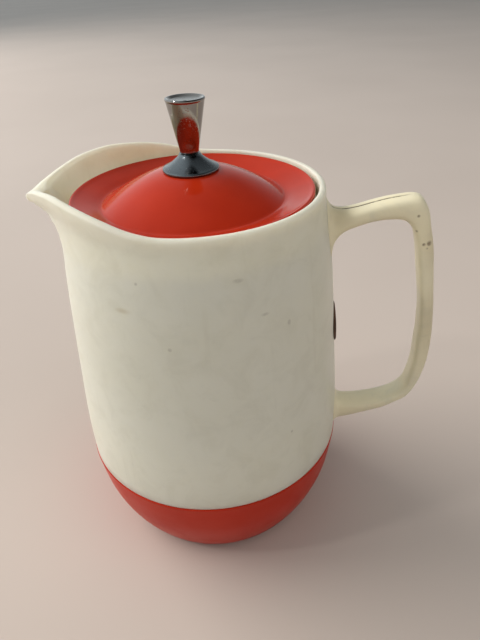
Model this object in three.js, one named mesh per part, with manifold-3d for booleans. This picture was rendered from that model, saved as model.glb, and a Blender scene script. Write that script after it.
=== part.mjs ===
// Insulated coffee pot: double-walled plastic body with a beaked spout and a
// moulded handle, a base cup, and a loose lid with a chromed knob.
// Millimetres, +Z up. The model is drawn about the pot's own axis (handle
// towards +X, spout towards -X) and moved along X at the end, so that the
// origin is the centre of the whole object's footprint box, on the ground.
import * as THREE from 'three';
import { mergeVertices } from 'three/addons/utils/BufferGeometryUtils.js';
import Module from 'manifold-3d';

const wasm = await Module();
wasm.setup();

// ---------------------------------------------------------------- dimensions
const GAP = 0.3;                 // left between pieces that touch
const RIM_Z = 173.4;             // height of the level half of the rim
const SEAM_Z = 47.9;             // top of the base cup, where the shell starts
const WALL = 2.0;                // wall of the outer shell
const RIM_T = 2.8;               // thickness of the rim
const THROAT_R = 51.8;           // inner radius just under the level rim
const THROAT_R_LOW = 50.8;       // inner radius at the throat wall's lower end
const THROAT_DEPTH = 32.0;       // how far the throat wall reaches down
const CAVITY_DEPTH = 14.0;       // where the hollow between the walls begins
const FLARE_DEPTH = 50.0;        // depth over which the spout fades outside
const TROUGH_DEPTH = 27.0;       // depth at which the spout trough starts
const LID_R = 50.8;              // radius of the lid's edge
const LID_X = -0.5;              // the loose lid sits a little towards the spout
const LID_Z = RIM_Z + 0.3;       // the plane of the lid's edge
const PLUG_R = 47.2;             // radius of the lid's plug
const PLUG_DEPTH = 14.0;         // the plug's underside, below the rim plane
const LID_TOP = 7.8;             // top of the lid's dome, above its edge
const KNOB_FOOT_R = 11.6;
const KNOB_NECK_Z = 15.0;        // above the lid's edge
const KNOB_TOP_Z = 35.8;
const KNOB_NECK_R = 3.7;
const KNOB_TOP_R = 7.85;
const HANDLE_W = 12.2;           // width of the handle across the pot
const HANDLE_SQUARENESS = 4.2; // 2 is an ellipse, more is squarer
const FILL_PLUG_Z = 108.8;       // centre height of the plug under the handle
const FILL_PLUG_R = 9.3;

// Outer radius of the round body against height.
const BODY = [[47.9, 63.8], [60, 63.75], [73.4, 63.3], [97.6, 61.75], [121.7, 60.1],
  [145.9, 58.15], [157, 56.75], [166, 55.4], [170, 54.8], [173.4, 54.6], [190, 54.6]];
// Rim radius and rim height above RIM_Z against the angle from the spout.
const RIM_RADIUS = [[0, 74.6], [3, 72.9], [6, 70.5], [14, 66.3], [24, 62.3], [36, 58.9],
  [50, 57.0], [64, 56.1], [78, 55.3], [95, 54.6], [180, 54.6]];
const RIM_RISE = [[0, 0.3], [3, 0.9], [6, 2.2], [14, 5.4], [24, 8.3], [36, 9.5], [50, 8.4], [64, 6.1],
  [71, 4.3], [78, 2.8], [86, 1.75], [95, 1.5], [180, 1.5]];
// How the spout's flare fades below the rim, outside and in the trough.
const FADE_OUT = [[0, 1], [0.04, 0.946], [0.09, 0.848], [0.15, 0.642], [0.2, 0.487], [0.26, 0.385],
  [0.32, 0.248], [0.4, 0.134], [0.5, 0.034], [0.65, 0], [1, 0]];
const FADE_IN = [[0, 1], [0.1, 0.8], [0.2, 0.66], [0.3, 0.55], [0.4, 0.45], [0.52, 0.34],
  [0.65, 0.22], [0.8, 0.09], [1, 0]];
// Handle outline in the plane of symmetry: outer edge from the top root round
// to the bottom root, then the inner edge from the top root to the bottom.
const HANDLE_OUTER = [[50, 165.2], [55.2, 165.2], [61.6, 164.3], [67.6, 165.2], [73.4, 166.9], [79.6, 168.6], [86.2, 169.8],
  [90.0, 170.1], [93.3, 169.3], [96.3, 164.5], [97.8, 158.4], [99.5, 152.4], [100.7, 146.3],
  [101.7, 140.1], [102.6, 133.8], [103.4, 127.5], [104.3, 121.2], [105.1, 114.9], [105.7, 108.6],
  [106.1, 102.4], [106.2, 96.2], [106.0, 90.0], [105.1, 83.8], [103.8, 77.7], [101.8, 71.7],
  [99.2, 65.7], [93.7, 62.8], [88.5, 59.2], [82.5, 56.7], [76.8, 54.4], [71.0, 52.1], [65.1, 50.3],
  [60.0, 50.1], [50, 50.1]];
const HANDLE_INNER = [[50.0, 140.0], [56.6, 140.6], [57.6, 144.1], [58.7, 149.9], [62.4, 154.8], [68.0, 157.6],
  [74.2, 159.6], [80.8, 160.6], [87.0, 160.0], [90.9, 155.8], [92.8, 149.8], [94.1, 143.2],
  [95.3, 136.6], [96.5, 130.2], [97.6, 123.8], [98.5, 117.5], [98.9, 111.2], [99.3, 104.8], [99.1, 98.5],
  [99.2, 92.2], [99.1, 85.7], [98.2, 79.3], [96.8, 73.0], [92.9, 68.3], [87.2, 65.2], [80.8, 63.3],
  [74.5, 62.0], [68.3, 61.7], [64.7, 62.6], [62.5, 65.0], [50.0, 65.4]];

// rows of HANDLE_OUTER and HANDLE_INNER that face each other, and the sections
// from each pair to the next
const HANDLE_PAIRS = [[0, 0, 1], [1, 1, 2], [2, 3.3, 2], [3, 5, 1], [4, 6, 1], [5, 7, 2], [6.2, 8, 3],
  [8.6, 9, 2], [10, 9.8, 1], [11, 10.5, 1], [12, 11.2, 2], [14, 12.6, 3], [17, 15.4, 3], [20, 18.36, 2],
  [22, 20.14, 2], [24, 21.85, 1], [25, 22.7, 2], [26, 23.4, 2], [27, 24.15, 1], [28, 25.15, 1],
  [29, 26.05, 1], [30, 27, 1], [31, 28, 1], [32, 29, 1], [33, 30, 0]];

// ------------------------------------------------------------------- helpers
// Monotone cubic through a table of [x, y] rows.
function curve(table) {
  const n = table.length, x = table.map(p => p[0]), y = table.map(p => p[1]);
  const d = [], m = new Array(n).fill(0);
  for (let i = 0; i < n - 1; i++) d.push((y[i + 1] - y[i]) / (x[i + 1] - x[i]));
  m[0] = d[0]; m[n - 1] = d[n - 2];
  for (let i = 1; i < n - 1; i++) {
    if (d[i - 1] * d[i] <= 0) { m[i] = 0; continue; }
    const h0 = x[i] - x[i - 1], h1 = x[i + 1] - x[i], a = 2 * h1 + h0, b = h1 + 2 * h0;
    m[i] = (a + b) / (a / d[i - 1] + b / d[i]);
  }
  return t => {
    if (t <= x[0]) return y[0];
    if (t >= x[n - 1]) return y[n - 1];
    let i = 0;
    while (t > x[i + 1]) i++;
    const h = x[i + 1] - x[i], s = (t - x[i]) / h, s2 = s * s, s3 = s2 * s;
    return y[i] * (2 * s3 - 3 * s2 + 1) + m[i] * h * (s3 - 2 * s2 + s)
      + y[i + 1] * (3 * s2 - 2 * s3) + m[i + 1] * h * (s3 - s2);
  };
}
const bodyR = curve(BODY), rimR = curve(RIM_RADIUS), rimRise = curve(RIM_RISE);
const fadeOut = curve(FADE_OUT), fadeIn = curve(FADE_IN);

// A closed body with shared vertices and outward faces.
function closed(geometry) {
  geometry.deleteAttribute('normal');
  geometry.deleteAttribute('uv');
  const g = mergeVertices(geometry, 1e-4);
  const p = g.attributes.position, index = Array.from(g.index.array), kept = [];
  let volume = 0;
  const a = new THREE.Vector3(), b = new THREE.Vector3(), c = new THREE.Vector3();
  for (let i = 0; i < index.length; i += 3) {
    const [i0, i1, i2] = [index[i], index[i + 1], index[i + 2]];
    if (i0 === i1 || i1 === i2 || i2 === i0) continue;
    kept.push(i0, i1, i2);
    a.fromBufferAttribute(p, i0); b.fromBufferAttribute(p, i1); c.fromBufferAttribute(p, i2);
    volume += a.dot(b.cross(c)) / 6;
  }
  if (volume < 0) for (let i = 0; i < kept.length; i += 3) [kept[i + 1], kept[i + 2]] = [kept[i + 2], kept[i + 1]];
  g.setIndex(kept);
  return g;
}
function toManifold(geometry) {
  return new wasm.Manifold(new wasm.Mesh({
    numProp: 3,
    vertProperties: new Float32Array(geometry.attributes.position.array),
    triVerts: new Uint32Array(geometry.index.array),
  }));
}
function toGeometry(manifold) {
  const mesh = manifold.getMesh(), g = new THREE.BufferGeometry();
  const xyz = new Float32Array(mesh.numVert * 3);
  for (let i = 0; i < mesh.numVert; i++)
    for (let k = 0; k < 3; k++) xyz[3 * i + k] = mesh.vertProperties[i * mesh.numProp + k];
  g.setAttribute('position', new THREE.BufferAttribute(xyz, 3));
  g.setIndex(Array.from(mesh.triVerts));
  return g;
}
const cut = (geometry, ...tools) => toGeometry(tools.reduce(
  (solid, tool) => solid.subtract(toManifold(tool)), toManifold(geometry)));

// A turned solid about +Z from [radius, height] rows; a profile either starts
// and ends on the axis or is closed by repeating its first point.
function turned(rows, segments = 48, ring = false) {
  const points = rows.map(([r, z]) => new THREE.Vector2(r, z));
  if (ring) points.push(points[0].clone());
  return closed(new THREE.LatheGeometry(points, segments).rotateX(Math.PI / 2));
}

const root = new THREE.Group();
function add(name, geometry, color, roughness, metalness = 0) {
  geometry.computeVertexNormals();
  const mesh = new THREE.Mesh(geometry, new THREE.MeshStandardMaterial({ color, roughness, metalness }));
  mesh.name = name;
  root.add(mesh);
  return mesh;
}
const CREAM = 0xe3dcc4, ORANGE = 0xc4381c, CHROME = 0xb9bcc0, FOAM = 0xe8e2c8;

// ------------------------------------------------------- body surface with spout
// delta is the angle from the spout in degrees, 0 at the spout, 180 at the handle.
const rimHeight = delta => RIM_Z + rimRise(delta);
function outerRadius(delta, z) {
  const top = rimHeight(delta), flare = rimR(delta) - bodyR(RIM_Z);
  return bodyR(z) + flare * fadeOut(Math.max(0, (top - z) / FLARE_DEPTH));
}
// The tip of the beak is solid, so its rim is thicker than the rest.
const tipThickness = curve([[0, 9.2], [3, 6.7], [6, 4.3], [14, 3.2], [24, RIM_T], [180, RIM_T]]);
const throatR = curve([[RIM_Z - THROAT_DEPTH, THROAT_R_LOW], [RIM_Z - 12, 51.2], [RIM_Z, THROAT_R], [RIM_Z + 12, THROAT_R]]);
function innerRadius(delta, z) {
  const top = rimHeight(delta), flare = rimR(delta) - tipThickness(delta) - THROAT_R;
  const depth = (top - z) / (top - (RIM_Z - TROUGH_DEPTH));
  return throatR(z) + Math.max(0, flare) * fadeIn(Math.min(1, Math.max(0, depth)));
}

// One section of the shell's wall at an angle from the spout, as a closed loop:
// up the outside, over the rounded lip, down the throat, and back up and down
// the hollow between the two walls.
function shellSection(delta) {
  const top = rimHeight(delta), section = [];
  const low = SEAM_Z + GAP, knee = top - 2.2;
  const outside = [0, 0.18, 0.38, 0.56, 0.7, 0.79, 0.85, 0.9, 0.94, 0.975, 1];
  for (const s of outside) { const z = low + (knee - low) * s; section.push([outerRadius(delta, z), z]); }
  const ro = outerRadius(delta, knee), ri = innerRadius(delta, knee), t = ro - ri;
  section.push([ro - 0.03 * t + (rimR(delta) - ro) * 0.5, top - 1.1]);
  section.push([ro - 0.18 * t + (rimR(delta) - ro) * 0.5, top - 0.3]);
  section.push([ro - 0.45 * t, top]);
  section.push([ri + 0.14 * t, top - 0.12]);
  section.push([ri, top - 0.75]);
  const end = RIM_Z - THROAT_DEPTH;
  for (const s of [0, 0.14, 0.3, 0.5, 0.72, 0.86, 1]) {
    const z = knee + (end - knee) * s; section.push([innerRadius(delta, z), z]);
  }
  const hollow = RIM_Z - CAVITY_DEPTH;
  for (const s of [0, 0.28, 1]) {
    const z = end + (hollow - end) * s; section.push([innerRadius(delta, z) + WALL, z]);
  }
  for (const s of [0, 0.1, 0.3, 0.62, 1]) {
    const z = hollow + (low - hollow) * s; section.push([outerRadius(delta, z) - WALL, z]);
  }
  return section;
}
const half = [0, 2.5, 5, 8, 12, 17, 23, 30, 38, 46, 54, 63, 72, 81, 90, 100, 110, 120, 130, 140, 150,
  160, 170, 180];
const columns = [...half, ...half.slice(1, -1).reverse().map(d => 360 - d)];
const shellLoop = shellSection(90).map(([r, z]) => new THREE.Vector2(r, z));
shellLoop.push(shellLoop[0].clone());
const shellGeometry = new THREE.LatheGeometry(shellLoop, columns.length).rotateX(Math.PI / 2);
{
  // The turned wall is drawn out into the spout, section by section.
  const p = shellGeometry.attributes.position, rows = shellLoop.length;
  for (let i = 0; i <= columns.length; i++) {
    const around = columns[i % columns.length], delta = around > 180 ? 360 - around : around;
    const section = shellSection(delta), angle = Math.PI + THREE.MathUtils.degToRad(around);
    for (let j = 0; j < rows; j++) {
      const [r, z] = section[j % section.length];
      p.setXYZ(i * rows + j, r * Math.cos(angle), r * Math.sin(angle), z);
    }
  }
}
let shell = closed(shellGeometry);

// Hole for the fill plug, under the handle.
const plugHole = closed(new THREE.CylinderGeometry(4.3, 4.3, 12, 24).rotateZ(Math.PI / 2)
  .translate(bodyR(FILL_PLUG_Z) - 1, 0, FILL_PLUG_Z));
shell = cut(shell, plugHole);
add('outer_shell', shell, CREAM, 0.38);

// Handle: rounded sections strung between the outer and inner outlines, with
// the roots cut to the shell's outside. HANDLE_PAIRS pairs places on the two
// outlines, given as row numbers, so that each section lies square to the grip.
const along = (rows, place) => {
  const i = Math.min(rows.length - 2, Math.floor(place)), s = place - i;
  return [0, 1].map(k => rows[i][k] + (rows[i + 1][k] - rows[i][k]) * s);
};
const stations = [];
HANDLE_PAIRS.forEach(([outerPlace, innerPlace, steps], n) => {
  for (let i = 0; i < steps; i++) {
    const next = HANDLE_PAIRS[n + 1], s = i / steps;
    stations.push([along(HANDLE_OUTER, outerPlace + (next[0] - outerPlace) * s),
      along(HANDLE_INNER, innerPlace + (next[1] - innerPlace) * s)]);
  }
});
const lastPair = HANDLE_PAIRS[HANDLE_PAIRS.length - 1];
stations.push([along(HANDLE_OUTER, lastPair[0]), along(HANDLE_INNER, lastPair[1])]);
const gripGeometry = new THREE.CylinderGeometry(1, 1, 1, 16, stations.length - 1);
{
  const p = gripGeometry.attributes.position;
  const rounded = v => Math.sign(v) * Math.abs(v) ** (2 / HANDLE_SQUARENESS);
  for (let i = 0; i < p.count; i++) {
    const [o, n] = stations[Math.round((0.5 - p.getY(i)) * (stations.length - 1))];
    const across = rounded(Math.round(p.getX(i) * 1e6) / 1e6) / 2, side = rounded(Math.round(p.getZ(i) * 1e6) / 1e6) / 2;
    p.setXYZ(i, (o[0] + n[0]) / 2 + (o[0] - n[0]) * across, side * HANDLE_W, (o[1] + n[1]) / 2 + (o[1] - n[1]) * across);
  }
}
const bodyTool = turned([[0, 30], [bodyR(SEAM_Z) + GAP, 30], ...[SEAM_Z, 60, 73.4, 85, 97.6, 110, 121.7, 134, 145.9, 152, 157, 162, 166, 170]
  .map(z => [bodyR(z) + GAP + 0.13, z]), [0, 176]], 96);
add('handle', cut(closed(gripGeometry), bodyTool), CREAM, 0.38);

// Liner: the inner cup, its collar lapping round the foot of the throat wall.
const throatEnd = RIM_Z - THROAT_DEPTH;
add('inner_liner', turned([[0, 16], [24, 16.2], [36, 17.6], [43, 22], [46.3, 30], [47.8, 42], [49.2, 80],
  [50.2, 115], [THROAT_R_LOW, throatEnd - GAP], [THROAT_R_LOW + WALL + GAP + 0.1, throatEnd - GAP],
  [THROAT_R_LOW + WALL + GAP + 0.1, throatEnd + 4.4], [54.9, throatEnd + 4.4], [54.9, throatEnd - 2.6],
  [52.4, throatEnd - 6], [52.2, 115], [51.2, 80], [49.8, 42], [48.3, 29], [44.6, 20.3], [36.6, 15.6],
  [24, 14.2], [0, 14]], 40), CREAM, 0.42);

// Insulation between the walls, and a pad under the liner.
const foamIn = curve([[49.3, 50.5], [80, 51.6], [115, 52.6], [134, 52.9]]);
const foamZ = [56, 75, 95, 115, 134];
add('insulation_sleeve', turned([...foamZ.map(z => [bodyR(z) - WALL - GAP - 0.7, z]),
  ...foamZ.slice().reverse().map(z => [foamIn(z), z])], 32, true), FOAM, 0.95);
add('insulation_pad', turned([[0, 4.9], [42, 4.9], [45, 8], [45.6, 12], [43, 13.4], [0, 13.4]], 24), FOAM, 0.95);

// Base cup: the bowl under the shell, with a spigot inside the shell and a
// narrow foot ring under a rounded corner.
add('base_cup', turned([[0, 1.8], [43, 1.8], [43.5, 0], [46.6, 0], [47.1, 2.0], [48.5, 2.1], [50.1, 3.1],
  [51.9, 5.8], [55.3, 12.3], [58.7, 20.5], [61.4, 29.6], [63.0, 39], [63.8, 46], [64.05, SEAM_Z - 0.7],
  [64.0, SEAM_Z], [61.35, SEAM_Z], [61.2, SEAM_Z + 5.2], [59.2, SEAM_Z + 5.2], [59.4, SEAM_Z - 2],
  [60.3, 38], [58.8, 29.6], [56.2, 21.3], [52.8, 13.4], [49.7, 7.6], [47, 4.6], [0, 4.4]], 44), ORANGE, 0.3);

// Fill plug: a low domed disc lying on the shell, with a short stem through
// the shell's wall.
const onWall = rows => closed(new THREE.LatheGeometry(rows.map(([r, h]) => new THREE.Vector2(r, h)), 24)
  .rotateZ(-Math.PI / 2).rotateY(THREE.MathUtils.degToRad(-3.9)).translate(bodyR(FILL_PLUG_Z), 0, FILL_PLUG_Z));
const disc = toManifold(onWall([[0, -1.6], [FILL_PLUG_R, -1.6], [FILL_PLUG_R, 0.3], [FILL_PLUG_R - 0.5, 0.55],
  [6.2, 0.85], [3, 1.0], [0, 1.05]])).subtract(toManifold(bodyTool));
add('fill_plug', toGeometry(disc.add(toManifold(onWall([[0, -1.9], [3.9, -1.9], [3.9, 0.7], [0, 0.7]])))), 0x5a3a26, 0.5);

// ----------------------------------------------------------------------- lid
const L = rows => rows.map(([r, z]) => [r, LID_Z + z]);
const ofLid = geometry => geometry.translate(LID_X, 0, 0);
add('lid_cover', ofLid(turned(L([[2.3, LID_TOP - 2.3], [11.5, LID_TOP - 2.5], [16, 4.5], [20, 3.2], [26, 0.55],
  [32, -2.65], [35, -4.4], [37.3, -5.8], [39.4, -5.8], [42.8, -3.45], [43.4, -2.95], [47.5, -2.7], [49.9, -2.3],
  [LID_R, -1.6], [LID_R, -0.5], [50.3, 0.1], [49.6, 0.0], [48.4, -0.4], [46, -0.85], [43.5, -1.4], [41.5, -2.2],
  [40, -3.15], [39, -3.85], [38.3, -4.05], [37.6, -3.75], [35, -2.12], [32, -0.35], [29, 1.31], [26, 2.84],
  [23, 4.24], [20, 5.48], [17, 6.53], [14, 7.34], [11.8, LID_TOP], [2.3, LID_TOP]]), 44, true)), ORANGE, 0.16);
add('lid_liner', ofLid(turned(L([[2.5, -PLUG_DEPTH], [PLUG_R - 1.2, -PLUG_DEPTH], [PLUG_R, -PLUG_DEPTH + 1.2],
  [PLUG_R, -11.4], [45.6, -11.4], [45.6, -8.6], [PLUG_R, -8.6], [PLUG_R, -4.7], [50.3, -4.5],
  [50.5, -3.3], [43.4, -3.3], [43.4, -12], [4.6, -12], [4.6, 4.7], [2.5, 5.0]]), 40, true)), CREAM, 0.42);
add('lid_insulation', ofLid(turned(L([[5, -11.7], [43, -11.7], [43, -4.4], [39.8, -6.6],
  [36.9, -6.6], [34.6, -5.2], [31.6, -3.5], [25.6, -0.3], [19.6, 2.5], [11.2, 4.7], [5, 4.9]]), 28, true)), FOAM, 0.95);
add('lid_gasket', ofLid(turned(L([[46, -11.1], [47.7, -11.1], [49.9, -10.5], [50.2, -9.9], [49.8, -9.2], [47.7, -8.9],
  [46, -8.9]]), 40, true)), 0x8d8a82, 0.8);

// Knob: a flared foot, a tapered stem with a dished top, and the screw that
// holds them, with its washer under the lid.
add('knob_foot', ofLid(turned(L([[2.3, LID_TOP + GAP], [KNOB_FOOT_R - 0.2, LID_TOP + GAP], [KNOB_FOOT_R, LID_TOP + 0.55],
  [KNOB_FOOT_R, LID_TOP + 1.2], [KNOB_FOOT_R - 0.4, LID_TOP + 1.6], [10, LID_TOP + 2.1], [7.6, LID_TOP + 3.5], [5.8, LID_TOP + 5.0],
  [KNOB_NECK_R + 0.3, KNOB_NECK_Z - GAP], [2.3, KNOB_NECK_Z - GAP]]), 32, true)), CHROME, 0.12, 1);
add('knob_stem', ofLid(turned(L([[0, KNOB_NECK_Z + 8], [1.9, KNOB_NECK_Z + 8], [1.9, KNOB_NECK_Z],
  [KNOB_NECK_R, KNOB_NECK_Z], [4.6, 19.9], [6.2, 28], [KNOB_TOP_R - 0.15, 34.7],
  [KNOB_TOP_R, 35.3], [7.55, KNOB_TOP_Z], [7.0, KNOB_TOP_Z], [6.1, 35.1], [0, 34.6]]), 32)), CHROME, 0.1, 1);
add('knob_screw', ofLid(turned(L([[0, -17.6], [3.0, -17.4], [3.6, -16.6], [3.6, -15.8], [1.6, -15.8],
  [1.6, KNOB_NECK_Z + 7], [1.0, KNOB_NECK_Z + 7.6], [0, KNOB_NECK_Z + 7.6]]), 18)), 0x9a9a98, 0.35, 1);
add('screw_washer', ofLid(turned(L([[2.1, -15.5], [6.5, -15.5], [6.5, -14.3], [2.1, -14.3]]), 24, true)), 0x9a9a98, 0.4, 1);

// ---------------------------------------------------- origin of the whole part
root.updateMatrixWorld(true);
const box = new THREE.Box3().setFromObject(root, true);
root.position.x = -(box.min.x + box.max.x) / 2;
root.updateMatrixWorld(true);

export default root;
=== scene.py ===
import math

import bpy
import numpy as np
from mathutils import Matrix, Vector


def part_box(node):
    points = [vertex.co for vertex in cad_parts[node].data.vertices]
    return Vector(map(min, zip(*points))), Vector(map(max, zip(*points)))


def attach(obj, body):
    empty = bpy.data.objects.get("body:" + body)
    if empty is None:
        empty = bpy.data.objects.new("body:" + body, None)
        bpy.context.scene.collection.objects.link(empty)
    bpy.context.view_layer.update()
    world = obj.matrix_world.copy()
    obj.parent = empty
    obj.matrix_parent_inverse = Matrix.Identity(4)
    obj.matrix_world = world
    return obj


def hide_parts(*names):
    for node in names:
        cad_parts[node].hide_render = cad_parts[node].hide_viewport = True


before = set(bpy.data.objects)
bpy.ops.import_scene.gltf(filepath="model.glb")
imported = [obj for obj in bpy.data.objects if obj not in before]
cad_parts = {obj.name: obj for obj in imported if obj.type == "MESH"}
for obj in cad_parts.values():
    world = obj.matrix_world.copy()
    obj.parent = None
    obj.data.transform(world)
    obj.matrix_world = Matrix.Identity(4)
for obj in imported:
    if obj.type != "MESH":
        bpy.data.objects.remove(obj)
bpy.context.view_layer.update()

MM = 0.001

# The pot's own axis and the lid's axis, from the CAD.
_lo, _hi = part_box("base_cup")
AX = (_lo[0] + _hi[0]) / 2 * 1000.0
_lo, _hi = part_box("lid_cover")
LX = (_lo[0] + _hi[0]) / 2 * 1000.0

RIM_Z = 173.4
SEAM_Z = 47.9
LID_Z = RIM_Z + 0.3


# ----------------------------------------------------------------- mesh helpers
def curve(table):
    """Monotone cubic through a table of [x, y] rows, for arrays."""
    t = np.array(table, float)
    x, y = t[:, 0], t[:, 1]
    n = len(x)
    h = np.diff(x)
    d = np.diff(y) / h
    m = np.zeros(n)
    m[0], m[-1] = d[0], d[-1]
    for i in range(1, n - 1):
        if d[i - 1] * d[i] > 0:
            a, b = 2 * h[i] + h[i - 1], h[i] + 2 * h[i - 1]
            m[i] = (a + b) / (a / d[i - 1] + b / d[i])

    def f(v):
        v = np.clip(np.asarray(v, float), x[0], x[-1])
        i = np.clip(np.searchsorted(x, v, side="right") - 1, 0, n - 2)
        s = (v - x[i]) / h[i]
        s2, s3 = s * s, s * s * s
        return (y[i] * (2 * s3 - 3 * s2 + 1) + m[i] * h[i] * (s3 - 2 * s2 + s)
                + y[i + 1] * (3 * s2 - 2 * s3) + m[i + 1] * h[i] * (s3 - s2))
    return f


def spline(points, step):
    """Points on a centripetal Catmull-Rom through the given points, about step apart."""
    p = np.array(points, float)
    if len(p) == 2:
        return p
    p = np.vstack([2 * p[0] - p[1], p, 2 * p[-1] - p[-2]])
    out = []
    for i in range(1, len(p) - 2):
        a, b, c, d = p[i - 1], p[i], p[i + 1], p[i + 2]
        t1 = max(np.linalg.norm(b - a), 1e-9) ** 0.5
        t2 = t1 + max(np.linalg.norm(c - b), 1e-9) ** 0.5
        t3 = t2 + max(np.linalg.norm(d - c), 1e-9) ** 0.5
        for t in np.linspace(t1, t2, max(2, int(math.ceil(np.linalg.norm(c - b) / step)) + 1))[:-1]:
            a1 = a * (t1 - t) / t1 + b * t / t1
            a2 = b * (t2 - t) / (t2 - t1) + c * (t - t1) / (t2 - t1)
            a3 = c * (t3 - t) / (t3 - t2) + d * (t - t2) / (t3 - t2)
            b1 = a1 * (t2 - t) / t2 + a2 * t / t2
            b2 = a2 * (t3 - t) / (t3 - t1) + a3 * (t - t1) / (t3 - t1)
            out.append(b1 * (t2 - t) / (t2 - t1) + b2 * (t - t1) / (t2 - t1))
    out.append(p[-2])
    return np.array(out)


def profile(*runs, step=1.0):
    """A turned piece's profile: each run is a smooth curve, and runs meet at corners."""
    rows = []
    for run in runs:
        for q in spline(run, step):
            if not rows or np.linalg.norm(q - rows[-1]) > 1e-4:
                rows.append(q)
    return np.array(rows)


def rounded(rows, radius=0.25, closed=False, cuts=3):
    """The corners of a profile, rounded where the line turns by more than 20 degrees."""
    rows = [np.array(r, float) for r in rows]
    n, out = len(rows), []
    for i in range(n):
        if not closed and i in (0, n - 1):
            out.append(rows[i])
            continue
        a, b, c = rows[i - 1], rows[i], rows[(i + 1) % n]
        u, v = a - b, c - b
        lu, lv = np.linalg.norm(u), np.linalg.norm(v)
        turn = math.acos(max(-1, min(1, float(-np.dot(u, v) / (lu * lv)))))
        if turn < math.radians(20):
            out.append(b)
            continue
        t = min(radius * math.tan(turn / 2), 0.42 * lu, 0.42 * lv)
        p0, p2 = b + u / lu * t, b + v / lv * t
        for s in np.linspace(0, 1, cuts + 2):
            out.append(p0 * (1 - s) ** 2 + b * 2 * s * (1 - s) + p2 * s * s)
    return np.array(out)


def build(name, verts, faces, body, slot, material, *nodes, sharp=35):
    mesh = bpy.data.meshes.new(name)
    mesh.from_pydata((np.asarray(verts) * MM).tolist(), [], faces)
    mesh.validate()
    mesh.update()
    v = np.asarray(verts, float)
    volume = 0.0
    for f in faces:
        a = v[f[0]]
        for k in range(1, len(f) - 1):
            volume += float(np.dot(a, np.cross(v[f[k]], v[f[k + 1]])))
    if volume < 0:
        mesh.flip_normals()
    mesh.shade_smooth()
    mesh.set_sharp_from_angle(angle=math.radians(sharp))
    mesh.materials.append(material)
    obj = bpy.data.objects.new(name, mesh)
    bpy.context.scene.collection.objects.link(obj)
    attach(obj, body)
    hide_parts(*nodes)
    return obj


def turned(rows, segments=160, ring=False, cx=0.0, place=None):
    """A solid turned about Z from [radius, height] rows, from axis to axis or as a ring."""
    rows = [tuple(map(float, r)) for r in rows]
    verts, start = [], []
    for r, z in rows:
        start.append(len(verts))
        if r < 1e-6:
            verts.append((0.0, 0.0, z))
        else:
            for k in range(segments):
                a = 2 * math.pi * k / segments
                verts.append((r * math.cos(a), r * math.sin(a), z))
    faces, n = [], len(rows)
    for i in range(n if ring else n - 1):
        j = (i + 1) % n
        pi, pj = rows[i][0] < 1e-6, rows[j][0] < 1e-6
        for k in range(segments):
            l = (k + 1) % segments
            a, b = start[i], start[j]
            if pi and pj:
                continue
            if pi:
                faces.append((a, b + k, b + l))
            elif pj:
                faces.append((a + k, b, a + l))
            else:
                faces.append((a + k, b + k, b + l, a + l))
    verts = np.array(verts)
    if place is not None:
        verts = np.array([tuple(place @ Vector(q)) for q in verts])
    verts[:, 0] += cx
    return verts, faces


# -------------------------------------------------------------- material helpers
def srgb(r, g, b):
    def lin(c):
        c /= 255.0
        return c / 12.92 if c <= 0.04045 else ((c + 0.055) / 1.055) ** 2.4
    return (lin(r), lin(g), lin(b), 1.0)


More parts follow.
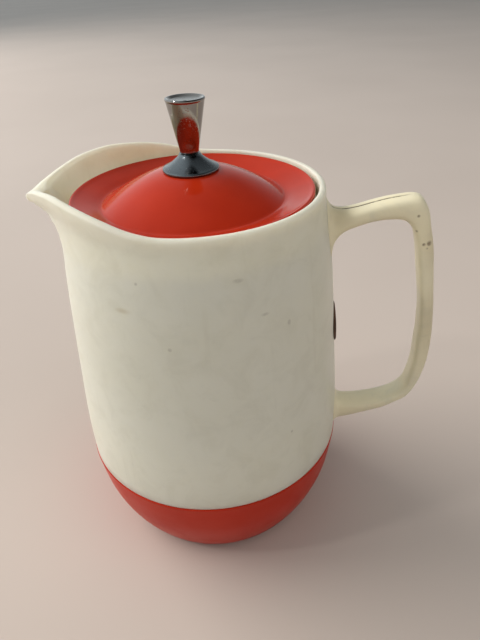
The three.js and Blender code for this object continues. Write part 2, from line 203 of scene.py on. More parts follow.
class Nodes:
    """A small helper that makes a material's node tree."""

    def __init__(self, name):
        self.m = bpy.data.materials.new(name)
        self.m.use_nodes = True
        self.t = self.m.node_tree
        self.bsdf = self.t.nodes["Principled BSDF"]
        self.co = self.t.nodes.new("ShaderNodeTexCoord").outputs["Object"]

    def link(self, a, b):
        self.t.links.new(a, b)

    def put(self, socket, v):
        if isinstance(v, bpy.types.NodeSocket):
            self.link(v, socket)
        else:
            socket.default_value = v

    def at(self, scale=(1, 1, 1), where=(0, 0, 0)):
        n = self.t.nodes.new("ShaderNodeMapping")
        n.inputs["Scale"].default_value = scale
        n.inputs["Location"].default_value = where
        self.link(self.co, n.inputs["Vector"])
        return n.outputs[0]

    def noise(self, scale, detail=3.0, rough=0.55, vec=None, distortion=0.0):
        n = self.t.nodes.new("ShaderNodeTexNoise")
        n.inputs["Scale"].default_value = scale
        n.inputs["Detail"].default_value = detail
        n.inputs["Roughness"].default_value = rough
        n.inputs["Distortion"].default_value = distortion
        self.link(vec or self.co, n.inputs["Vector"])
        return n.outputs["Fac"]

    def math(self, op, a, b=0.0, clamp=False):
        n = self.t.nodes.new("ShaderNodeMath")
        n.operation = op
        n.use_clamp = clamp
        self.put(n.inputs[0], a)
        self.put(n.inputs[1], b)
        return n.outputs[0]

    def ramp(self, v, lo, hi, a=0.0, b=1.0, smooth=True):
        n = self.t.nodes.new("ShaderNodeMapRange")
        n.interpolation_type = "SMOOTHSTEP" if smooth else "LINEAR"
        self.put(n.inputs["Value"], v)
        for k, q in (("From Min", lo), ("From Max", hi), ("To Min", a), ("To Max", b)):
            n.inputs[k].default_value = q
        return n.outputs[0]

    def mix(self, f, a, b):
        n = self.t.nodes.new("ShaderNodeMix")
        n.data_type = "RGBA"
        self.put(n.inputs[0], f)
        self.put(n.inputs[6], a)
        self.put(n.inputs[7], b)
        return n.outputs[2]

    def near(self, centre, radius, squash=(1, 1, 1), soft=0.6):
        """1 inside a blob at a point in millimetres, 0 outside it."""
        s = tuple(1000.0 * q / radius for q in squash)
        v = self.at(s, tuple(-c * q / radius for c, q in zip(centre, squash)))
        n = self.t.nodes.new("ShaderNodeVectorMath")
        n.operation = "LENGTH"
        self.link(v, n.inputs[0])
        return self.ramp(n.outputs["Value"], 1.0, 1.0 - soft)

    def axis(self, k):
        n = self.t.nodes.new("ShaderNodeSeparateXYZ")
        self.link(self.co, n.inputs[0])
        return n.outputs[k]

    def bump(self, height, strength, distance, normal=None):
        n = self.t.nodes.new("ShaderNodeBump")
        n.inputs["Strength"].default_value = strength
        n.inputs["Distance"].default_value = distance
        self.link(height, n.inputs["Height"])
        if normal:
            self.link(normal, n.inputs["Normal"])
        return n.outputs[0]

    def done(self, color, roughness, normal=None, **fixed):
        self.put(self.bsdf.inputs["Base Color"], color)
        self.put(self.bsdf.inputs["Roughness"], roughness)
        if normal:
            self.link(normal, self.bsdf.inputs["Normal"])
        for k, v in fixed.items():
            self.bsdf.inputs[k.replace("_", " ")].default_value = v
        return self.m


def many(n, values):
    out = values[0]
    for v in values[1:]:
        out = n.math("MAXIMUM", out, v)
    return out


# -------------------------------------------------------------------- materials
CREAM = srgb(228, 222, 203)


def cream(name, marks=(), stains_and_shade=(), groove=False, rub=1.0, base=CREAM, other=srgb(221, 217, 196), glow=0.0):
    """Aged moulded plastic: warm cream, faintly blotched, with a light orange peel and scuffs, stains, and painted
    shade where the handle meets the body.
    """
    n = Nodes(name)
    blotch = n.ramp(n.noise(16, 4, 0.6), 0.35, 0.7)
    fine = n.ramp(n.noise(70, 4, 0.62, distortion=0.6), 0.42, 0.72)
    col = n.mix(n.math("MULTIPLY", blotch, 0.55), base, other)
    col = n.mix(n.math("MULTIPLY", fine, 0.32 * rub), col, srgb(206, 201, 180))
    # faint upright streaks and grubby smears
    streak = n.ramp(n.noise(1, 4, 0.6, n.at((150, 150, 12))), 0.58, 0.8)
    col = n.mix(n.math("MULTIPLY", streak, 0.22 * rub), col, srgb(198, 190, 166))
    smear = n.ramp(n.noise(1, 5, 0.7, n.at((34, 34, 55), (3.1, 0.4, 1.7)), distortion=1.4), 0.62, 0.78)
    col = n.mix(n.math("MULTIPLY", smear, 0.30 * rub), col, srgb(190, 186, 166))
    # stains, and painted shade: the body and handle lists darken both pieces around the two handle roots, where shade
    # falls between the parts
    if stains_and_shade:
        s = many(n, [n.near(c, r, q, 0.95) for c, r, q in stains_and_shade])
        col = n.mix(n.math("MULTIPLY", s, 0.4), col, srgb(178, 158, 116))
    if marks:
        wob = n.math("ADD", n.ramp(n.noise(900, 2, 0.5), 0.3, 0.7, 0.55, 1.0), 0.0)
        s = many(n, [n.math("MULTIPLY", n.near(c, r, q, 0.75), a) for c, r, q, a in marks])
        col = n.mix(n.math("MULTIPLY", s, wob), col, srgb(92, 66, 42))
    if groove:
        y = n.math("ABSOLUTE", n.axis(1))
        line = n.math("MULTIPLY", n.ramp(y, 0.00075, 0.00030), n.ramp(n.axis(2), 0.1615, 0.1632))
        ends = n.math("MULTIPLY", n.ramp(n.axis(0), (AX + 56) * MM, (AX + 58) * MM), n.ramp(n.axis(0), (AX + 90) * MM, (AX + 84) * MM))
        line = n.math("MULTIPLY", line, ends)
        broken = n.ramp(n.noise(1, 3, 0.5, n.at((240, 1, 1))), 0.3, 0.55, 0.45, 1.0)
        col = n.mix(n.math("MULTIPLY", n.math("MULTIPLY", line, broken), 0.85), col, srgb(74, 58, 40))
    rough = n.ramp(n.noise(38, 4, 0.6), 0.3, 0.75, 0.30, 0.44)
    peel = n.bump(n.noise(420, 2, 0.5), 0.10, 0.0002)
    wave = n.bump(n.noise(48, 2, 0.5), 0.05, 0.0006, peel)
    scratch = n.ramp(n.noise(1, 3, 0.6, n.at((900, 900, 40), (0.3, 0.2, 0.7)), distortion=0.7), 0.66, 0.72)
    both = n.bump(scratch, 0.06, 0.0002, wave)
    return n.done(col, rough, both, Specular_IOR_Level=0.5, Coat_Weight=0.0, Subsurface_Weight=glow, Subsurface_Radius=(1.0, 0.94, 0.82), Subsurface_Scale=0.008)


def orange(name, base, deep, rough_lo, rough_hi, dust=0.2, gloss=0.5, marks=(), hairs=0.02):
    """Glossy moulded orange-red plastic with fine swirl scratches and dust."""
    n = Nodes(name)
    col = n.mix(n.ramp(n.noise(22, 4, 0.6), 0.3, 0.72), base, deep)
    specks = n.ramp(n.noise(620, 2, 0.45), 0.74, 0.80)
    col = n.mix(n.math("MULTIPLY", specks, dust), col, srgb(205, 130, 105))
    haze = n.ramp(n.noise(1, 4, 0.65, n.at((60, 60, 60), (1.3, 4.1, 0.6)), distortion=1.2), 0.55, 0.8)
    col = n.mix(n.math("MULTIPLY", haze, dust * 0.35), col, srgb(192, 92, 66))
    if marks:
        s = many(n, [n.math("MULTIPLY", n.near(c, r, q, 0.7), a) for c, r, q, a in marks])
        col = n.mix(s, col, srgb(70, 24, 16))
    rough = n.ramp(n.noise(90, 5, 0.65), 0.3, 0.8, rough_lo, rough_hi)
    peel = n.bump(n.noise(500, 2, 0.5), 0.05, 0.0002)
    hair = n.ramp(n.noise(1, 2, 0.5, n.at((1100, 90, 90), (0.1, 0.6, 0.2)), distortion=1.6), 0.67, 0.70)
    hair2 = n.ramp(n.noise(1, 2, 0.5, n.at((90, 1100, 90), (0.7, 0.1, 0.9)), distortion=1.6), 0.67, 0.70)
    both = n.bump(n.math("MAXIMUM", hair, hair2), hairs, 0.00005, peel)
    return n.done(col, rough, both, Specular_IOR_Level=gloss)


def chrome(name, tint, rough_lo, rough_hi, pits=0.5):
    """Plated metal, with a haze of fine pits and a few dull spots."""
    n = Nodes(name)
    pit = n.ramp(n.noise(1500, 3, 0.6), 0.60, 0.68)
    dull = n.ramp(n.noise(260, 4, 0.6), 0.55, 0.75)
    col = n.mix(n.math("MULTIPLY", n.math("MULTIPLY", pit, pits), n.math("ADD", n.math("MULTIPLY", dull, 0.8), 0.2)), tint, srgb(62, 52, 44))
    rough = n.math("ADD", n.ramp(n.noise(300, 4, 0.6), 0.3, 0.75, rough_lo, rough_hi), n.math("MULTIPLY", pit, 0.25 * pits))
    both = n.bump(pit, 0.25 * pits, 0.0001, n.bump(n.noise(180, 2, 0.5), 0.03, 0.0002))
    return n.done(col, rough, both, Metallic=1.0)


def steel(name):
    n = Nodes(name)
    brushed = n.noise(1, 3, 0.6, n.at((400, 400, 2600)))
    col = n.mix(brushed, srgb(150, 148, 145), srgb(112, 109, 105))
    return n.done(col, n.ramp(brushed, 0.3, 0.7, 0.28, 0.46), n.bump(brushed, 0.2, 0.0001), Metallic=1.0)


def foam(name):
    n = Nodes(name)
    cell = n.t.nodes.new("ShaderNodeTexVoronoi")
    cell.inputs["Scale"].default_value = 700
    n.link(n.co, cell.inputs["Vector"])
    d = cell.outputs["Distance"]
    col = n.mix(n.ramp(d, 0.1, 0.6), srgb(226, 214, 170), srgb(196, 178, 128))
    return n.done(col, 0.95, n.bump(d, 0.6, 0.0006))


def rubber(name, a, b):
    n = Nodes(name)
    col = n.mix(n.ramp(n.noise(60, 4, 0.6), 0.35, 0.7), a, b)
    return n.done(col, n.ramp(n.noise(120, 3, 0.6), 0.3, 0.7, 0.62, 0.8), n.bump(n.noise(900, 2, 0.5), 0.12, 0.0002))


def plug(name):
    n = Nodes(name)
    col = n.mix(n.ramp(n.noise(150, 4, 0.6), 0.35, 0.7), srgb(88, 56, 36), srgb(60, 38, 25))
    return n.done(col, n.ramp(n.noise(200, 3, 0.6), 0.3, 0.7, 0.4, 0.6), n.bump(n.noise(800, 2, 0.5), 0.15, 0.0002))


def A(x, y, z):
    """A point given from the pot's axis, in millimetres, in the frame."""
    return (AX + x, y, z)


body_marks = [
    (A(-3.1, -59.0, 133.3), 1.1, (1, 1, 1), 0.35), (A(31.5, -49.0, 143.1), 1.5, (0.4, 1, 1.6), 0.25),
    (A(40.3, -43.0, 135.8), 1.2, (1, 1, 0.7), 0.28), (A(-13.1, -54.9, 158.7), 0.9, (1, 1, 1), 0.35),
    (A(22.5, -51.8, 158.5), 1.6, (0.5, 1, 1.5), 0.30), (A(42.0, -46.6, 81.7), 0.9, (1, 1, 1), 0.40),
]
# a real stain on the front, and painted shade on the body around the upper and lower handle roots (second and third
# entries)
body_stains_and_root_shade = [
    (A(-20.0, -54.3, 147.1), 2.6, (0.45, 1, 1.6)), (A(57.0, 0.0, 163.0), 10, (1, 0.8, 1)), (A(63.0, 0, 58.0), 9, (1, 0.8, 1)),
]
grip_marks = [
    (A(91.1, -3.4, 168.0), 1.0, (1, 1, 1), 0.9), (A(91.6, -5.8, 163.2), 0.9, (1, 0.6, 1), 0.85),
    (A(91.6, -5.8, 156.2), 1.0, (1, 0.6, 1), 0.9), (A(97.4, -5.4, 151.2), 1.35, (1, 0.6, 0.8), 1.0),
    (A(95.4, -5.8, 150.6), 1.0, (1, 0.6, 1), 0.9), (A(96.9, -5.6, 148.9), 0.7, (1, 0.6, 1), 0.8),
    (A(99.8, -3.0, 138.0), 0.7, (1, 1, 1), 0.6), (A(78.0, 4.9, 166.0), 0.7, (1, 1, 1), 0.6),
    (A(103.5, 3.0, 120.0), 0.8, (1, 1, 0.6), 0.6), (A(88.0, -5.2, 167.2), 0.8, (0.5, 1, 1), 0.6),
]
# real stains at the upper corner and along the grip, and painted shade at the upper and lower roots (first and last
# entries)
grip_stains_and_root_shade = [
    (A(60.6, -3.0, 163.2), 7, (0.8, 1, 1)), (A(101.0, 0.0, 150.0), 12, (1.4, 0.8, 0.6)), (A(104.5, 0.0, 112.0), 24, (2.4, 1, 0.7)),
    (A(66.0, 0, 56.0), 6, (1, 1, 1)),
]

m_shell = cream("cream_body", body_marks, body_stains_and_root_shade, base=srgb(229, 225, 206), glow=0.62)
m_grip = cream("cream_handle", grip_marks, grip_stains_and_root_shade, groove=True, rub=1.0, base=srgb(238, 229, 199), other=srgb(231, 219, 184))
m_liner = cream("cream_liner", stains_and_shade=[(A(0, 0, 16), 46, (1, 1, 1.2)), (A(0, 0, 90), 52, (1, 1, 4.0))], rub=1.3)
m_under = cream("cream_lid_lining", stains_and_shade=[(A(0, 0, 158), 40, (1, 1, 3.0))], rub=1.1)
m_lid = orange("orange_lid", srgb(184, 48, 20), srgb(172, 42, 18), 0.09, 0.17, 0.08, 0.20,
               [((LX + 14.5, -22.0, LID_Z + 3.2), 0.55, (1, 1, 1), 0.5)])
m_base = orange("orange_base", srgb(190, 48, 25), srgb(180, 43, 22), 0.30, 0.42, 0.0, 0.12, hairs=0.0)
m_stem = chrome("chrome_knob", srgb(150, 146, 143), 0.05, 0.12, 0.35)
m_foot = chrome("chrome_knob_foot", srgb(122, 128, 132), 0.12, 0.24, 1.0)
m_steel = steel("steel_fixings")
m_foam = foam("insulation_foam")
m_rubber = rubber("seal_rubber", srgb(150, 147, 138), srgb(126, 122, 112))
m_plug = plug("fill_plug_brown")

# --------------------------------------------------------- shell with the spout
bodyR = curve([[47.9, 63.8], [60, 63.75], [73.4, 63.3], [97.6, 61.75], [121.7, 60.1], [145.9, 58.15],
               [157, 56.75], [166, 55.4], [170, 54.8], [173.4, 54.6], [190, 54.6]])
rimR = curve([[0, 73.9], [1, 73.8], [2, 73.3], [3, 72.8], [4.5, 71.6], [6, 70.4], [14, 66.3], [24, 62.3], [36, 58.9],
              [50, 57], [64, 56.1], [78, 55.3], [95, 54.6], [180, 54.6]])
rimRise = curve([[0, 0.3], [1, 0.4], [3, 0.9], [6, 2.2], [14, 5.4], [24, 8.3], [36, 9.5], [50, 8.4], [64, 6.1],
                 [71, 4.3], [78, 2.8], [86, 1.75], [95, 1.5], [180, 1.5]])
fadeOut = curve([[0, 1], [.04, .946], [.09, .848], [.15, .642], [.2, .487], [.26, .385], [.32, .248], [.4, .134],
                 [.5, .034], [.65, 0], [1, 0]])
fadeIn = curve([[0, 1], [.1, .8], [.2, .66], [.3, .55], [.4, .45], [.52, .34], [.65, .22], [.8, .09], [1, 0]])
tipT = curve([[0, 9.1], [1, 8.5], [3, 6.7], [6, 4.3], [14, 3.2], [24, 2.8], [180, 2.8]])
throatR = curve([[141.4, 50.8], [161.4, 51.2], [173.4, 51.8], [185.4, 51.8]])


def outer_radius(d, z):
    top = RIM_Z + rimRise(d)
    return bodyR(z) + (rimR(d) - 54.6) * fadeOut(np.maximum(0, (top - z) / 50))


def inner_radius(d, z):
    top = RIM_Z + rimRise(d)
    flare = np.maximum(0, rimR(d) - tipT(d) - 51.8)
    return throatR(z) + flare * fadeIn(np.clip((top - z) / (top - 146.4), 0, 1))


def evenly(points, cuts):
    """A Catmull-Rom through the points with the same number of steps between each two."""
    p = np.array(points, float)
    p = np.vstack([2 * p[0] - p[1], p, 2 * p[-1] - p[-2]])
    out = []
    for i in range(1, len(p) - 2):
        a, b, c, d = p[i - 1], p[i], p[i + 1], p[i + 2]
        for s in np.linspace(0, 1, cuts + 1)[:-1]:
            out.append(0.5 * (2 * b + (c - a) * s + (2 * a - 5 * b + 4 * c - d) * s * s + (3 * b - a - 3 * c + d) * s ** 3))
    out.append(p[-2])
    return out


# The beak's own lip, as radius and height, from under the tip over it and into the spout.
TIP = [(70.5, 168.4), (72.5, 168.8), (73.6, 170.2), (73.2, 172.1), (70.5, 173.6), (67.4, 173.5), (65.6, 172.9), (65.1, 171.9)]


def shell_section(d):
    """One closed section of the shell's wall, as [radius, height] rows, at d degrees from the spout."""
    top = RIM_Z + float(rimRise(d))
    low = SEAM_Z + 0.3
    near = math.exp(-(d / 3.4) ** 2)
    rim, thick = float(rimR(d)), float(tipT(d))
    lip = [(float(outer_radius(d, top - 3.4)), top - 3.4), (float(outer_radius(d, top - 1.9)), top - 1.9),
           (rim - 0.07 * thick, top - 0.95), (rim - 0.28 * thick, top - 0.28), (rim - 0.56 * thick, top),
           (rim - 0.84 * thick, top - 0.12), (rim - 0.98 * thick, top - 0.6), (float(inner_radius(d, top - 1.5)), top - 1.5)]
    if near > 1e-3:
        dr, dz = rim - float(rimR(0.0)), top - RIM_Z - float(rimRise(0.0))
        lip = [(a * (1 - near) + (r + dr) * near, b * (1 - near) + (z + dz) * near) for (a, b), (r, z) in zip(lip, TIP)]
    out = []
    # bottom edge with a small round, then the outside
    r0 = float(outer_radius(d, low))
    out += [(r0 - 0.35, low), (r0 - 0.12, low + 0.08), (r0 - 0.01, low + 0.3)]
    knee = lip[0]
    s = np.concatenate([np.linspace(0, 0.6, 15)[1:], 1 - 0.4 * (1 - np.linspace(0, 1, 32)[1:-1]) ** 1.2])
    zs = low + 0.3 + (knee[1] - low - 0.3) * s
    gap = knee[0] - float(outer_radius(d, knee[1]))
    for r, z in zip(outer_radius(d, zs), zs):
        out.append((float(r) + gap * math.exp(-((knee[1] - z) / 2.5) ** 2), float(z)))
    out += [tuple(q) for q in evenly(lip, 4)]
    inner, end = lip[-1], 141.4
    zs = inner[1] + (end - inner[1]) * np.linspace(0, 1, 30)[1:] ** 1.15
    gap = inner[0] - float(inner_radius(d, inner[1]))
    for r, z in zip(inner_radius(d, zs), zs):
        out.append((float(r) + gap * math.exp(-((inner[1] - z) / 2.5) ** 2), float(z)))
    for q in (0, 0.3, 1):
        z = end + (159.4 - end) * q
        out.append((float(inner_radius(d, z)) + 2.0, z))
    for q in (0, 0.1, 0.3, 0.62, 1):
        z = 159.4 + (low - 159.4) * q
        out.append((float(outer_radius(d, z)) - 2.0, z))
    return out


half = np.concatenate([np.arange(0, 10, 0.5), np.arange(10, 40, 1.25), np.arange(40, 95, 2.0), np.arange(95, 180, 3.0)])
deltas = list(half) + [180.0] + [360 - q for q in half[::-1][:-1]]
verts, faces = [], []
rows = 0
for around in deltas:
    section = shell_section(360 - around if around > 180 else around)
    rows = len(section)
    t = math.pi + math.radians(around)
    verts += [(AX + r * math.cos(t), r * math.sin(t), z) for r, z in section]
n = len(deltas)
for i in range(n):
    for j in range(rows):
        a, b = i * rows, ((i + 1) % n) * rows
        k = (j + 1) % rows
        faces.append((a + j, a + k, b + k, b + j))
pot_shell = build("pot_shell", verts, faces, "pot", "cream_plastic", m_shell, "outer_shell", sharp=50)

# ----------------------------------------------------------------------- handle
# the roots end inside the shell's wall, short of the throat and the foam
OUTER = [(53.6, 165.2), (55.6, 165.2), (61.6, 164.27), (67.62, 165.2), (73.42, 166.91), (79.6, 168.59), (86.25, 169.82),
         (90.05, 170.14), (93.27, 169.28), (96.34, 164.47), (97.85, 158.39), (99.45, 152.44), (100.74, 146.3),
         (101.68, 140.05), (102.59, 133.76), (103.43, 127.45), (104.35, 121.16), (105.07, 114.86), (105.66, 108.6),
         (106.08, 102.37), (106.18, 96.15), (105.95, 89.97), (105.12, 83.84), (103.8, 77.74), (101.6, 71.9),
         (98.5, 66.6), (93.6, 62.9), (88.45, 59.4), (82.51, 56.72), (76.78, 54.4), (71.03, 52.11),
         (65.13, 50.33), (62.2, 50.15), (61.3, 50.15)]
INNER = [(53.6, 140.2), (56.6, 140.6), (57.64, 144.14), (58.67, 149.91), (62.41, 154.8), (68.02, 157.58),
         (74.2, 159.64), (80.8, 160.61), (86.97, 159.96), (90.89, 155.82), (92.84, 149.75), (94.12, 143.16),
         (95.28, 136.63), (96.45, 130.2), (97.6, 123.83), (98.45, 117.49), (98.88, 111.16), (99.27, 104.84),
         (99.12, 98.52), (99.25, 92.17), (99.07, 85.74), (98.2, 79.28), (96.82, 73.04), (92.9, 68.27), (87.17, 65.2),
         (80.79, 63.29), (74.46, 62.04), (68.31, 61.68), (64.69, 62.65), (62.5, 65.0), (61.3, 65.2)]
PAIRS = [[0, 0, 1], [1, 1, 2], [2, 3.3, 2], [3, 5, 1], [4, 6, 1], [5, 7, 2], [6.2, 8, 3], [8.6, 9, 2], [10, 9.8, 1],
         [11, 10.5, 1], [12, 11.2, 2], [14, 12.6, 3], [17, 15.4, 3], [20, 18.36, 2], [22, 20.14, 2], [24, 21.85, 1],
         [25, 22.7, 2], [26, 23.4, 2], [27, 24.15, 1], [28, 25.15, 1], [29, 26.05, 1], [30, 27, 1], [31, 28, 1], [32, 29, 1],
         [33, 30, 0]]


def place_on(table):
    """A smooth curve through the outline, asked by row number."""
    t = np.array(table, float)
    k = 12
    fine = []
    ext = np.vstack([2 * t[0] - t[1], t, 2 * t[-1] - t[-2]])
    for i in range(1, len(ext) - 2):
        a, b, c, d = ext[i - 1], ext[i], ext[i + 1], ext[i + 2]
        for s in np.linspace(0, 1, k + 1)[:-1]:
            fine.append(0.5 * (2 * b + (c - a) * s + (2 * a - 5 * b + 4 * c - d) * s * s + (3 * b - a - 3 * c + d) * s ** 3))
    fine.append(t[-1])
    fine = np.array(fine)

    def f(p):
        q = min(max(p * k, 0), len(fine) - 1)
        i = min(int(q), len(fine) - 2)
        return fine[i] + (fine[i + 1] - fine[i]) * (q - i)
    return f


on_outer, on_inner = place_on(OUTER), place_on(INNER)
po = curve([[i, p[0]] for i, p in enumerate(PAIRS)])
pn = curve([[i, p[1]] for i, p in enumerate(PAIRS)])
steps = []
for i in range(len(PAIRS) - 1):
    steps += list(np.linspace(i, i + 1, 9 if i < 3 or i > 19 else 7)[:-1])
steps.append(len(PAIRS) - 1)
HALF_W = 6.1
# around a section: the angle from the outer edge's middle, with rows close together beside the parting groove
side = [0.0, 1.2, 2.4, 4.2, 7, 11, 16, 22, 29, 37, 46, 56, 67, 78, 90, 102, 113, 124, 134, 143, 151, 159, 166, 173]
turn = side + [180.0] + [360 - q for q in side[::-1][:-1]]
verts, faces = [], []
for s in steps:
    o, i_ = on_outer(float(po(s))), on_inner(float(pn(s)))
    mid, up = (o + i_) / 2, (o - i_) / 2
    reach = np.linalg.norm(up)
    unit = up / reach
    for a in turn:
        c, sn = math.cos(math.radians(a)), math.sin(math.radians(a))
        e = 2 / 3.2
        u = math.copysign(abs(c) ** e, c)
        v = math.copysign(abs(sn) ** e, sn)
        x, z = mid + unit * (u * reach)
        y = v * HALF_W
        d = math.hypot(x, y) - float(bodyR(z))
        rf = 3.6
        g = rf * (1 - math.sqrt(max(0.0, 1 - ((rf - min(max(d, 0.0), rf)) / rf) ** 2)))
        y += math.copysign(abs(v) ** 3, v) * g
        end = 1.0 if z > 110 else 0.55
        x += unit[0] * math.copysign(abs(u) ** 3, u) * g * end * 0.9
        z += unit[1] * math.copysign(abs(u) ** 3, u) * g * end * 0.9
        # parting groove along the top arm
        if u > 0 and z > 155:
            depth = 0.42 * max(0.0, 1 - (abs(y) / 0.62) ** 2) * min(1, max(0, (90 - x) / 5))
            x, z = x - unit[0] * depth, z - unit[1] * depth
        verts.append((AX + x, y, z))
n, rows = len(steps), len(turn)
for i in range(n - 1):
    for j in range(rows):
        k = (j + 1) % rows
        faces.append((i * rows + j, i * rows + k, (i + 1) * rows + k, (i + 1) * rows + j))
faces.append(tuple(range(rows)))
faces.append(tuple((n - 1) * rows + j for j in range(rows - 1, -1, -1)))
pot_handle = build("pot_handle", verts, faces, "pot", "cream_plastic", m_grip, "handle", sharp=60)

# ------------------------------------------------------------ liner and base cup
rows = profile(
    [(0, 16), (12, 16.05), (24, 16.2), (36, 17.6), (43, 22), (46.3, 30), (47.8, 42), (49.2, 80), (50.2, 115), (50.8, 141.1)],
    [(50.8, 141.1), (53.2, 141.1)], [(53.2, 141.1), (53.2, 145.8)], [(53.2, 145.8), (54.9, 145.8)], [(54.9, 145.8), (54.9, 138.8)],
    [(54.9, 138.8), (52.4, 135.4)], [(52.4, 135.4), (52.2, 115), (51.2, 80), (49.8, 42), (48.3, 29), (44.6, 20.3), (36.6, 15.6), (24, 14.2), (0, 14)],
    step=3.0)
v, f = turned(rounded(rows, 0.3), 144, cx=AX)
pot_liner = build("pot_liner", v, f, "pot", "cream_plastic", m_liner, "inner_liner")

rows = profile(
    [(0, 1.8), (14, 1.8)], [(14, 1.8), (14.3, 1.5)], [(14.3, 1.5), (15.2, 1.5)], [(15.2, 1.5), (15.5, 1.8)], [(15.5, 1.8), (30, 1.8)],
    [(30, 1.8), (30.3, 1.4)], [(30.3, 1.4), (31.4, 1.4)], [(31.4, 1.4), (31.7, 1.8)], [(31.7, 1.8), (43, 1.8)],
    [(43, 1.8), (43.5, 0)], [(43.5, 0), (46.6, 0)], [(46.6, 0), (47.1, 2.0)], [(47.1, 2.0), (48.5, 2.1)],
    [(48.5, 2.1), (50.1, 3.1), (51.9, 5.8), (55.3, 12.3), (58.7, 20.5), (61.4, 29.6), (63.0, 39), (63.8, 45.8), (64.03, 47.2)],
    [(64.03, 47.2), (64.0, 47.9)], [(64.0, 47.9), (61.35, 47.9)], [(61.35, 47.9), (61.2, 53.1)], [(61.2, 53.1), (59.2, 53.1)],
    [(59.2, 53.1), (59.4, 45.9)], [(59.4, 45.9), (60.3, 38), (58.8, 29.6), (56.2, 21.3), (52.8, 13.4), (49.7, 7.6), (47, 4.6)],
    [(47, 4.6), (0, 4.4)], step=1.6)
v, f = turned(rounded(rows, 0.35), 192, cx=AX)
pot_base = build("pot_base", v, f, "pot", "orange_plastic", m_base, "base_cup")

# fill plug under the handle, lying on the shell
tilt = math.radians(3.9)
normal = Vector((math.cos(tilt), 0, math.sin(tilt)))
frame_plug = Matrix.Translation((float(bodyR(108.8)), 0, 108.8)) @ Vector((0, 0, 1)).rotation_difference(normal).to_matrix().to_4x4()
rows = profile([(0, -1.5), (9.2, -1.5)], [(9.2, -1.5), (9.3, 0.2)], [(9.3, 0.2), (8.7, 0.6), (7.6, 0.72)],
               [(7.6, 0.72), (7.3, 0.5)], [(7.3, 0.5), (6.7, 0.5)], [(6.7, 0.5), (6.4, 0.82)], [(6.4, 0.82), (3, 1.0), (0, 1.05)], step=0.8)
v, f = turned(rounded(rows, 0.2), 72, cx=AX, place=frame_plug)
pot_plug = build("pot_fill_plug", v, f, "pot", "plug_plastic", m_plug, "fill_plug")


# -------------------------------------------------------------------------- lid
def L(*runs, step=0.8):
    return profile(*[[(r, LID_Z + z) for r, z in run] for run in runs], step=step)


rows = L([(2.3, 7.8), (11.6, 7.8)],
         [(11.6, 7.8), (12.4, 7.66), (14, 7.32), (17, 6.53), (20, 5.48), (23, 4.24), (26, 2.84), (29, 1.31), (32, -.35), (35, -2.12), (36.8, -3.25),
          (37.7, -3.82), (38.35, -4.0), (39.1, -3.88), (40.5, -3.38), (42.5, -2.62), (44.5, -1.95), (46.5, -1.28), (48.0, -.76), (49.0, -.34),
          (49.6, -.02), (50.1, 0.1), (50.6, -.1), (50.8, -.55), (50.8, -1.5)],
         [(50.8, -1.5), (49.9, -2.3)], [(49.9, -2.3), (47.5, -2.7), (43.4, -2.95)], [(43.4, -2.95), (42.8, -3.45), (39.4, -5.8)],
         [(39.4, -5.8), (37.3, -5.8)], [(37.3, -5.8), (35, -4.4), (32, -2.65), (26, .55), (20, 3.2), (16, 4.5), (11.5, 5.3)],
         [(11.5, 5.3), (2.3, 5.5)], [(2.3, 5.5), (2.3, 7.8)])
v, f = turned(rounded(rows[:-1], 0.3, closed=True), 192, ring=True, cx=LX)
lid_dome = build("lid_dome", v, f, "lid", "orange_plastic", m_lid, "lid_cover", sharp=40)

rows = L([(2.5, -14), (8, -14)], [(8, -14), (8.3, -13.7)], [(8.3, -13.7), (9.2, -13.7)], [(9.2, -13.7), (9.5, -14)], [(9.5, -14), (30, -14)],
         [(30, -14), (30.3, -13.6)], [(30.3, -13.6), (31.2, -13.6)], [(31.2, -13.6), (31.5, -14)], [(31.5, -14), (46, -14)],
         [(46, -14), (46.9, -13.65), (47.2, -12.8)], [(47.2, -12.8), (47.2, -11.4)], [(47.2, -11.4), (45.6, -11.4)],
         [(45.6, -11.4), (45.6, -8.6)], [(45.6, -8.6), (47.2, -8.6)], [(47.2, -8.6), (47.2, -4.7)], [(47.2, -4.7), (50.9, -4.5)],
         [(50.9, -4.5), (51.1, -3.3)], [(51.1, -3.3), (43.4, -3.3)], [(43.4, -3.3), (43.4, -12)], [(43.4, -12), (4.6, -12)],
         [(4.6, -12), (4.6, 4.7)], [(4.6, 4.7), (2.5, 5.0)], [(2.5, 5.0), (2.5, -14)], step=2.0)
v, f = turned(rounded(rows[:-1], 0.3, closed=True), 144, ring=True, cx=LX)
lid_under = build("lid_underside", v, f, "lid", "cream_plastic", m_under, "lid_liner")

rows = L([(46, -11.1), (47.7, -11.1)], [(47.7, -11.1), (49.0, -10.85), (49.9, -10.5), (50.2, -9.9), (49.8, -9.2), (48.9, -8.95), (47.7, -8.9)],
         [(47.7, -8.9), (46, -8.9)], [(46, -8.9), (46, -11.1)], step=0.4)
v, f = turned(rounded(rows[:-1], 0.2, closed=True), 144, ring=True, cx=LX)
lid_seal = build("lid_seal", v, f, "gasket", "gasket_rubber", m_rubber, "lid_gasket")

# knob: flared foot, tapered stem with a dished top, screw and washer
rows = L([(2.3, 8.1), (11.35, 8.1)], [(11.35, 8.1), (11.55, 8.25), (11.6, 8.7), (11.5, 9.1), (11.15, 9.38)],
         [(11.15, 9.38), (10.5, 9.62), (9.3, 10.25), (7.8, 11.2), (6.3, 12.35), (5.2, 13.35), (4.6, 14.1), (4.3, 14.7)], [(4.3, 14.7), (2.3, 14.7)], [(2.3, 14.7), (2.3, 8.1)], step=0.4)
v, f = turned(rounded(rows[:-1], 0.15, closed=True), 128, ring=True, cx=LX)
knob_foot = build("knob_flare", v, f, "lid", "chrome", m_foot, "knob_foot", sharp=45)

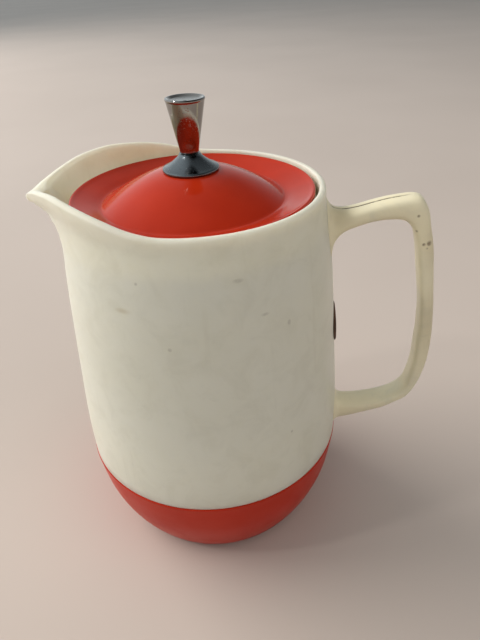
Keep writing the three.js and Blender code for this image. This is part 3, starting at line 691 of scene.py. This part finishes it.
rows = L([(0, 23), (1.9, 23)], [(1.9, 23), (1.9, 15)], [(1.9, 15), (3.6, 15)], [(3.6, 15), (3.78, 15.3), (4.1, 17.2), (4.72, 20.2), (5.5, 24), (6.3, 28), (7.05, 31.8), (7.62, 34.6)],
         [(7.62, 34.6), (7.82, 35.0), (7.84, 35.4), (7.66, 35.72), (7.3, 35.8)], [(7.3, 35.8), (6.9, 35.74), (6.2, 35.35), (5.6, 35.0)],
         [(5.6, 35.0), (4, 34.75), (0, 34.6)], step=0.4)
v, f = turned(rounded(rows, 0.15), 128, cx=LX)
knob_stem = build("knob_grip", v, f, "lid", "chrome", m_stem, "knob_stem", sharp=45)

rows = L([(0, -16.7), (1.3, -16.75)], [(1.3, -16.75), (1.5, -17.55)], [(1.5, -17.55), (3.0, -17.4), (3.5, -16.9), (3.6, -16.5)], [(3.6, -16.5), (3.6, -15.8)],
         [(3.6, -15.8), (1.6, -15.8)], [(1.6, -15.8), (1.6, 22)], [(1.6, 22), (1.0, 22.6)], [(1.0, 22.6), (0, 22.6)], step=0.5)
v, f = turned(rounded(rows, 0.1), 64, cx=LX)
knob_bolt = build("knob_bolt", v, f, "lid", "steel", m_steel, "knob_screw")

rows = L([(2.1, -15.5), (6.5, -15.5)], [(6.5, -15.5), (6.5, -14.3)], [(6.5, -14.3), (2.1, -14.3)], [(2.1, -14.3), (2.1, -15.5)])
v, f = turned(rounded(rows[:-1], 0.2, closed=True), 72, ring=True, cx=LX)
knob_washer = build("knob_washer", v, f, "lid", "steel", m_steel, "screw_washer")

# foams stay as the CAD has them, inside the walls
for name in ("insulation_sleeve", "insulation_pad", "lid_insulation"):
    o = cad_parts[name]
    o.data.materials.clear()
    o.data.materials.append(m_foam)

# ------------------------------------------------------------------------ floor
fm = Nodes("floor_paper")
tone = fm.mix(fm.ramp(fm.noise(2.2, 3, 0.5), 0.3, 0.7), srgb(198, 185, 176), srgb(193, 180, 171))
floor_material = fm.done(tone, 0.5, Specular_IOR_Level=0.35)
mesh = bpy.data.meshes.new("floor")
mesh.from_pydata([(-60, -60, -0.0002), (60, -60, -0.0002), (60, 60, -0.0002), (-60, 60, -0.0002)], [], [(0, 1, 2, 3)])
mesh.materials.append(floor_material)
floor = bpy.data.objects.new("floor", mesh)
bpy.context.scene.collection.objects.link(floor)

# ----------------------------------------------------------------------- lights
scene = bpy.context.scene
world = bpy.data.worlds.new("studio")
scene.world = world
world.use_nodes = True
wt = world.node_tree
bg = wt.nodes["Background"]
coord = wt.nodes.new("ShaderNodeTexCoord")
sep = wt.nodes.new("ShaderNodeSeparateXYZ")
wt.links.new(coord.outputs["Generated"], sep.inputs[0])
# dim room: pale low down all round, darker overhead, a little lighter to the left
def world_range(socket, lo, hi, a, b):
    n = wt.nodes.new("ShaderNodeMapRange")
    wt.links.new(socket, n.inputs["Value"])
    for k, q in (("From Min", lo), ("From Max", hi), ("To Min", a), ("To Max", b)):
        n.inputs[k].default_value = q
    return n.outputs[0]


low_down = world_range(sep.outputs[2], 0.05, 0.55, 0.62, 0.20)
to_left = world_range(sep.outputs[0], 0.2, -1.0, 0.0, 0.78)
to_right = world_range(sep.outputs[0], 0.1, 0.9, 0.0, -0.16)
to_front = world_range(sep.outputs[1], 0.1, -0.8, 0.0, -0.24)
total = wt.nodes.new("ShaderNodeMath")
total.operation = "ADD"
wt.links.new(low_down, total.inputs[0])
wt.links.new(to_left, total.inputs[1])
total2 = wt.nodes.new("ShaderNodeMath")
total2.operation = "ADD"
total3 = wt.nodes.new("ShaderNodeMath")
total3.operation = "ADD"
total3.use_clamp = True
wt.links.new(total.outputs[0], total2.inputs[0])
wt.links.new(to_front, total2.inputs[1])
wt.links.new(total2.outputs[0], total3.inputs[0])
wt.links.new(to_right, total3.inputs[1])
bg.inputs["Color"].default_value = (0.90, 0.975, 1.0, 1)
wt.links.new(total3.outputs[0], bg.inputs["Strength"])


def area(name, where, target, size, size_y, power, color, glossy=True):
    data = bpy.data.lights.new(name, "AREA")
    data.shape = "RECTANGLE"
    data.size, data.size_y, data.energy, data.color = size, size_y, power, color
    o = bpy.data.objects.new(name, data)
    bpy.context.scene.collection.objects.link(o)
    o.location = where
    o.rotation_euler = (Vector(target) - Vector(where)).to_track_quat("-Z", "Y").to_euler()
    o.visible_glossy = glossy
    return o


area("key", (-2.6, 0.75, 1.75), (0, 0, 0.09), 2.8, 2.4, 116.0, (1.0, 0.955, 0.90), glossy=False)
area("top", (0.95, -0.75, 1.65), (0, 0, 0.05), 1.5, 1.5, 11.5, (1.0, 0.965, 0.925), glossy=False)
area("side", (1.35, -1.1, 0.5), (0, 0, 0.08), 0.9, 0.9, 1.6, (1.0, 0.965, 0.93), glossy=False)
area("spark", (-1.1, -0.5, 1.25), (0, 0, 0.18), 0.10, 0.10, 2.6, (1.0, 0.98, 0.95))

# ----------------------------------------------------------------------- camera
pitch, yaw, roll = math.radians(33.19), math.radians(-6.70), math.radians(-2.91)
fwd = Vector((math.sin(yaw) * math.cos(pitch), math.cos(yaw) * math.cos(pitch), -math.sin(pitch)))
right = Vector((math.cos(yaw), -math.sin(yaw), 0))
up = right.cross(fwd)
r2 = right * math.cos(roll) + up * math.sin(roll)
u2 = up * math.cos(roll) - right * math.sin(roll)
cam_data = bpy.data.cameras.new("camera")
cam_data.lens, cam_data.sensor_width, cam_data.sensor_fit = 30.05, 36.0, "AUTO"
cam_data.clip_start, cam_data.clip_end = 0.01, 50
camera = bpy.data.objects.new("camera", cam_data)
bpy.context.scene.collection.objects.link(camera)
m = Matrix((
    (r2.x, u2.x, -fwd.x, (AX + 41.565) * MM),
    (r2.y, u2.y, -fwd.y, -213.945 * MM),
    (r2.z, u2.z, -fwd.z, 248.965 * MM),
    (0, 0, 0, 1)))
camera.matrix_world = m
scene.camera = camera
scene.view_settings.view_transform = "Standard"
scene.view_settings.look = "None"
